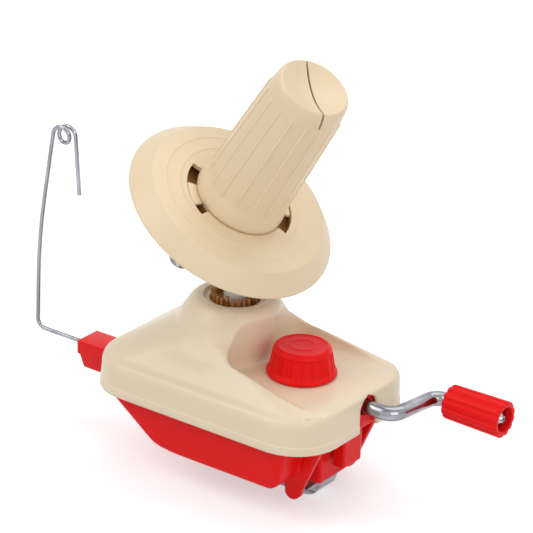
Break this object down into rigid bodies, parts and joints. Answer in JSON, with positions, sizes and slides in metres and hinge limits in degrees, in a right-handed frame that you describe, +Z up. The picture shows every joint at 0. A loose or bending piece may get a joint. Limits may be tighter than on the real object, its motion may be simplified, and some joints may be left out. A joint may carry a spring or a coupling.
{
  "type": "yarn ball winder",
  "caption": "Hand-cranked yarn ball winder: a geared crank spins a tilted spool on a turning arm above a plastic gear case with a wire yarn guide and a screw table clamp.",
  "frame": {"origin": "on the upright rotor axis, in the plane of the base's flat underside, where the winder rests on the table top", "axes": "+X towards the crank, -Y towards the front, +Z up along the rotor axis; the yarn guide lies at -X"},
  "size_m": [0.278, 0.115, 0.2332],
  "materials": {
    "cream_plastic": "glossy moulded",
    "red_plastic": "glossy moulded",
    "white_nylon": "satin moulded nylon",
    "tan_nylon": "satin moulded nylon",
    "steel": "turned",
    "chrome": "plated and polished",
    "brass": "turned",
    "rubber": "matte",
    "zinc_casting": "as cast"
  },
  "bodies": {
    "housing": {"base_shell": "red_plastic", "top_cover": "cream_plastic", "neck_collar": "tan_nylon", "sun_post": "steel", "sun_gear": "white_nylon", "foot_bearing": "white_nylon", "foot_bush": "brass", "guide_bracket": "red_plastic", "cover_screw_1": "steel", "cover_screw_2": "steel", "cover_screw_3": "steel", "cover_screw_4": "steel", "crank_bush_1": "brass", "crank_bush_2": "brass"},
    "rotor": {"rotor_shaft": "steel", "rotor_pinion": "white_nylon", "rotor_spacer": "steel", "rotor_arm": "zinc_casting", "rotor_nut": "steel", "arm_bush_1": "brass", "arm_bush_2": "brass", "balance_weight_1": "chrome", "balance_weight_2": "chrome", "weight_screw_1": "steel", "weight_screw_2": "steel"},
    "spool": {"spindle": "steel", "planet_gear": "white_nylon", "planet_nut": "steel", "thrust_washer": "steel", "saucer": "cream_plastic", "saucer_washer": "steel", "saucer_nut": "steel", "spool_core": "cream_plastic"},
    "crank": {"crank_rod": "chrome", "crown_gear": "white_nylon", "crank_pin": "steel", "crank_collar": "steel", "grip_washer": "steel", "grip_screw": "chrome"},
    "grip": {"crank_grip": "red_plastic"},
    "knob": {"clamp_knob": "red_plastic", "knob_insert": "brass", "knob_clip": "steel"},
    "jaw": {"clamp_jaw": "chrome", "jaw_bolt": "steel", "jaw_nut": "steel", "jaw_pad": "rubber"},
    "guide": {"guide_wire": "chrome"}
  },
  "joints": [
    {"name": "rotor_turn", "type": "hinge", "parent": "housing", "child": "rotor", "pos_m": [0, 0, 0.1], "axis": [0, 0, 1], "continuous": true},
    {"name": "spool_spin", "type": "hinge", "parent": "rotor", "child": "spool", "pos_m": [0, 0, 0.1319], "axis": [0.5289, -0.0324, 0.848], "continuous": true},
    {"name": "crank_turn", "type": "hinge", "parent": "housing", "child": "crank", "pos_m": [0.05, 0.0048, 0.0378], "axis": [1, 0, 0], "continuous": true},
    {"name": "grip_spin", "type": "hinge", "parent": "crank", "child": "grip", "pos_m": [0.125, 0.0383, 0.0378], "axis": [1, 0, 0], "continuous": true},
    {"name": "knob_turn", "type": "hinge", "parent": "housing", "child": "knob", "pos_m": [0.0445, -0.0008, 0.05], "axis": [0, 0, 1], "range_deg": [0, 3600]},
    {"name": "jaw_slide", "type": "slide", "parent": "housing", "child": "jaw", "axis": [0, 0, -1], "range_m": [0, 0.015]},
    {"name": "guide_turn", "type": "hinge", "parent": "housing", "child": "guide", "pos_m": [-0.09, 0, 0.0205], "axis": [1, 0, 0], "range_deg": [-90, 90]}
  ],
  "couplings": [
    {"joint": "spool_spin", "follows": "rotor_turn", "ratio": 1.2857},
    {"joint": "crank_turn", "follows": "rotor_turn", "ratio": -0.25},
    {"joint": "knob_turn", "follows": "jaw_slide", "rad_per_m": 4188.8}
  ]
}
